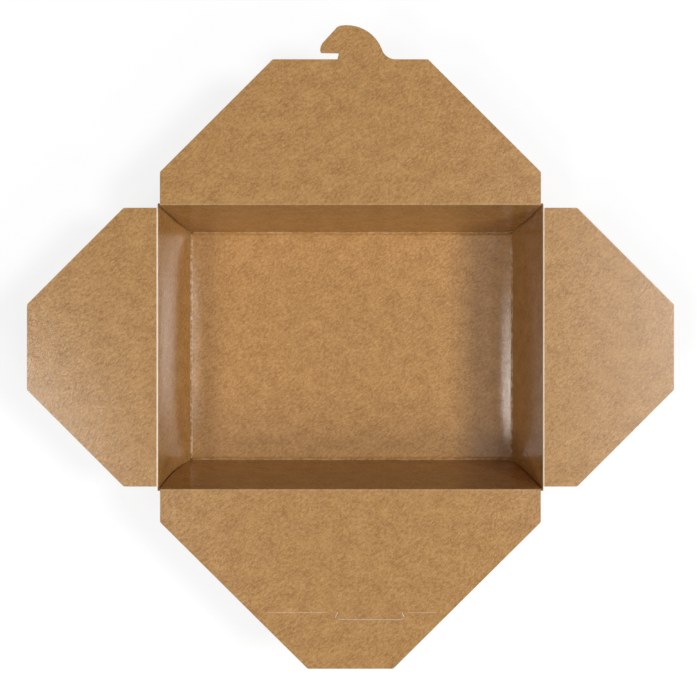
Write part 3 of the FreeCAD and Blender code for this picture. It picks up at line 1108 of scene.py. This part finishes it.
FLOOR_INSIDE = 0.05  # mm that the floor's edge stays inside the wall's outer side
UNDERSIDE_INSIDE = 0.3  # mm more at the end of its underside
FLOOR_GRID = {"Columns": 198, "Rows": 61}


class TAKEAWAY_OT_tray_floor(bpy.types.Operator):
    """Make the floor of the tray"""

    bl_idname = "takeaway.tray_floor"
    bl_label = "Tray floor"

    def execute(self, context):
        tray = Tray()
        values = curl_values(tray) | FLOOR_GRID
        values["Board thickness"] = settings().tray.board
        values["Edge inside the wall"] = FLOOR_INSIDE * MM
        values["Underside share"] = 1 - UNDERSIDE_INSIDE / tray.floor_half_length
        piece = grown("tray_floor", [], [], floor_tree(), values)
        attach(piece, "tray")
        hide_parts("tray")
        return {"FINISHED"}


class TAKEAWAY_OT_score_beads(bpy.types.Operator):
    """Grow the pressed beads along the four folds of the floor"""

    bl_idname = "takeaway.score_beads"
    bl_label = "Score beads"

    def execute(self, context):
        tray = Tray()
        beads = settings().beads
        tree = bead_tree()
        # Name, radius, mm in from the wall, and mm up from the underside of the floor
        rows = (
            ("fold_bead", beads.corner_radius, 0.1, tray.board + 0.12),
            ("floor_bead", beads.floor_radius, beads.spacing / MM, tray.board - 0.06),
        )
        values = curl_values(tray)
        values |= {"Step": beads.step, "Crackle": beads.crackle, "Seed": beads.seed}
        for name, radius, inset, height in rows:
            for where, wear_and_glint_share in (("ends", beads.end_wear_and_glint), ("sides", beads.side_wear_and_glint)):
                points, edges = bead_paths(tray, inset, height, where == "ends")
                values |= {"Bead radius": radius, "Wear": wear_and_glint_share}
                piece = grown(f"{name}_{where}", points, edges, tree, values)
                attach(piece, "tray")
        return {"FINISHED"}


class TAKEAWAY_OT_tab_flap(bpy.types.Operator):
    """Make the back lid flap with its hooked tab"""

    bl_idname = "takeaway.tab_flap"
    bl_label = "Tab flap"

    def execute(self, context):
        sizes = sizes_of(settings().flaps)
        length = sizes["tab_length"]
        plan = FlapPlan("tab_flap", sizes, length, (1, 0, 0), (0, 1, 0), LONG_WALL_LEAN)
        plan.far_side = hooked_tab(length)
        build_flap(plan, sizes)
        return {"FINISHED"}


SLIT_OUT = 72.6  # mm from the front crease to the slit
SLIT_CREASES = ((-10.7, -49.1), (30.9, 48.7))  # mm from the flap's middle


class TAKEAWAY_OT_slot_flap(bpy.types.Operator):
    """Make the front lid flap with its slit and the creases beside it"""

    bl_idname = "takeaway.slot_flap"
    bl_label = "Slot flap"

    def execute(self, context):
        sizes = sizes_of(settings().flaps)
        length = CREASE["slot_flap"].y - FLAP_BOX["slot_flap"][0].y / MM
        plan = FlapPlan("slot_flap", sizes, length, (1, 0, 0), (0, -1, 0), LONG_WALL_LEAN)
        line = slit_line(SLIT_OUT)
        plan.holes = [kerf(line, sizes["slit_kerf"])]
        y = line[0][1]
        plan.grooves = [((a, y), (b, y)) for a, b in SLIT_CREASES]
        build_flap(plan, sizes)
        return {"FINISHED"}


class TAKEAWAY_OT_side_flaps(bpy.types.Operator):
    """Make the two side flaps"""

    bl_idname = "takeaway.side_flaps"
    bl_label = "Side flaps"

    def execute(self, context):
        sizes = sizes_of(settings().flaps)
        lean = Tray().end_lean
        for name, right in (("left_flap", -1), ("right_flap", 1)):
            low, high = FLAP_BOX[name]
            length = (high.x if right > 0 else -low.x) / MM - RIM_HALF_LENGTH
            build_flap(FlapPlan(name, sizes, length, (0, -right, 0), (right, 0, 0), lean), sizes)
        return {"FINISHED"}


# Stage

REACH = 3.4  # m from the box to each lamp
# Soft boxes: name, degrees off the vertical and round from +X, sides in m (first the level
# one), radiance
LAMPS = (
    ("Key light", 32, 0, (0.65, 0.65), 42.0),
    ("Key light's wide edge", 20, 0, (1.95, 0.55), 4.9),
    ("Front left light", 32, 225, (0.65, 0.65), 19.5),
    ("Front right light", 46, 315, (0.65, 0.65), 15.0),
    ("Left light", 23.5, 192, (0.60, 0.34), 24.0),
)
SKY = 0.02  # of the world's even light
FLOOR_HALF = 4.0  # m
FLOOR_GLOW = 0.80  # added to the floor for the camera alone, so that it reads as white
FLOOR_SHOWN = (0.22, 0.22, 0.22, 1)  # what the camera sees of the light and shadow on it
CAMERA_AT = (0.006, 0.007, 0.7025)  # m, above the middle of the box
CAMERA_LENS, CAMERA_SENSOR = 58.9, 36.0  # mm
CAMERA_SHIFT = (-0.016, -0.022)  # the photo's frame is cut a little off the box


def aimed_light(name, tilt, azimuth, sides, radiance):
    data = bpy.data.lights.new(name, "AREA")
    data.shape = "RECTANGLE"
    data.size, data.size_y = sides
    data.energy = radiance * math.pi * sides[0] * sides[1]
    lamp = bpy.data.objects.new(name, data)
    level = REACH * math.sin(math.radians(tilt))
    lamp.location = (
        level * math.cos(math.radians(azimuth)),
        level * math.sin(math.radians(azimuth)),
        REACH * math.cos(math.radians(tilt)),
    )
    lamp.rotation_euler = lamp.location.to_track_quat("Z", "Y").to_euler()
    bpy.context.scene.collection.objects.link(lamp)


def seen_directly(tree):
    """1 for rays from the camera and their mirror and glass paths, 0 for light."""
    path = add_node(tree, "ShaderNodeLightPath").outputs
    shiny = {0: path["Is Glossy Ray"], 1: path["Is Transmission Ray"]}
    shiny = add_node(tree, MATH, shiny, operation="MAXIMUM")
    return add_node(tree, MATH, {0: path["Is Camera Ray"], 1: shiny}, operation="MAXIMUM")


def stage_floor():
    """Matt paper sweep: white to the camera, with the box's soft shadow on it."""
    material, tree = new_material("White paper sweep")
    white = rgba(settings().colours.stage)
    paper = add_node(tree, "ShaderNodeBsdfDiffuse", {"Color": white})
    thin = add_node(tree, "ShaderNodeBsdfDiffuse", {"Color": FLOOR_SHOWN})
    glow = add_node(tree, "ShaderNodeEmission", {"Strength": FLOOR_GLOW})
    bright = add_node(tree, "ShaderNodeAddShader", {0: thin, 1: glow})
    shown = {0: seen_directly(tree), 1: paper, 2: bright}
    shown = add_node(tree, "ShaderNodeMixShader", shown)
    add_node(tree, "ShaderNodeOutputMaterial", {0: shown})
    return material


def white_world():
    world = bpy.data.worlds.new("Studio")
    world.use_nodes = True
    tree = world.node_tree
    tree.nodes.clear()
    strength = {0: seen_directly(tree), 1: 0.0, 2: 1.0, 3: SKY, 4: 1.0}
    strength = add_node(tree, MAP_RANGE, strength)
    sky = {"Color": (1, 1, 1, 1), "Strength": strength}
    add_node(tree, "ShaderNodeOutputWorld", {0: add_node(tree, "ShaderNodeBackground", sky)})
    bpy.context.scene.world = world


class TAKEAWAY_OT_stage(bpy.types.Operator):
    """Set up the floor, the studio light and the camera above the box"""

    bl_idname = "takeaway.stage"
    bl_label = "Stage"

    def execute(self, context):
        mesh = bpy.data.meshes.new("studio_floor")
        signs = ((-1, -1), (1, -1), (1, 1), (-1, 1))
        corners = [(x * FLOOR_HALF, y * FLOOR_HALF, 0) for x, y in signs]
        mesh.from_pydata(corners, [], [(0, 1, 2, 3)])
        mesh.materials.append(stage_floor())
        ground = bpy.data.objects.new("studio_floor", mesh)
        context.scene.collection.objects.link(ground)
        for lamp in LAMPS:
            aimed_light(*lamp)
        white_world()
        data = bpy.data.cameras.new("Camera above the box")
        data.sensor_width = CAMERA_SENSOR
        data.lens = CAMERA_LENS
        data.shift_x, data.shift_y = CAMERA_SHIFT
        camera = bpy.data.objects.new("Camera above the box", data)
        camera.location = CAMERA_AT
        context.scene.collection.objects.link(camera)
        context.scene.camera = camera
        context.scene.view_settings.view_transform = "Standard"
        return {"FINISHED"}


class TAKEAWAY_PT_panel(bpy.types.Panel):
    """Lists the steps that make the box"""

    bl_idname = "TAKEAWAY_PT_panel"
    bl_label = "Takeaway Box"
    bl_space_type = "VIEW_3D"
    bl_region_type = "UI"
    bl_category = "Takeaway Box"

    def draw(self, context):
        for step in STEPS:
            self.layout.operator(step.bl_idname)
        for name in ("tray", "flaps", "beads", "colours"):
            box = self.layout.box()
            group = getattr(settings(), name)
            for key in group.__annotations__:
                box.prop(group, key)


STEPS = (
    TAKEAWAY_OT_tray_walls,
    TAKEAWAY_OT_tray_floor,
    TAKEAWAY_OT_score_beads,
    TAKEAWAY_OT_tab_flap,
    TAKEAWAY_OT_slot_flap,
    TAKEAWAY_OT_side_flaps,
    TAKEAWAY_OT_stage,
)
GROUPS = (TraySizes, FlapSizes, BeadSizes, BoardColours, TakeawayBoxSettings)
CLASSES = (*GROUPS, *STEPS, TAKEAWAY_PT_panel)


def register():
    for one in CLASSES:
        bpy.utils.register_class(one)
    bpy.types.Scene.takeaway_box = PointerProperty(type=TakeawayBoxSettings)


def unregister():
    del bpy.types.Scene.takeaway_box
    for one in reversed(CLASSES):
        bpy.utils.unregister_class(one)


def main():
    register()
    bpy.ops.takeaway.tray_walls()
    bpy.ops.takeaway.tray_floor()
    bpy.ops.takeaway.score_beads()
    bpy.ops.takeaway.tab_flap()
    bpy.ops.takeaway.slot_flap()
    bpy.ops.takeaway.side_flaps()
    bpy.ops.takeaway.stage()


if __name__ == "__main__":
    main()
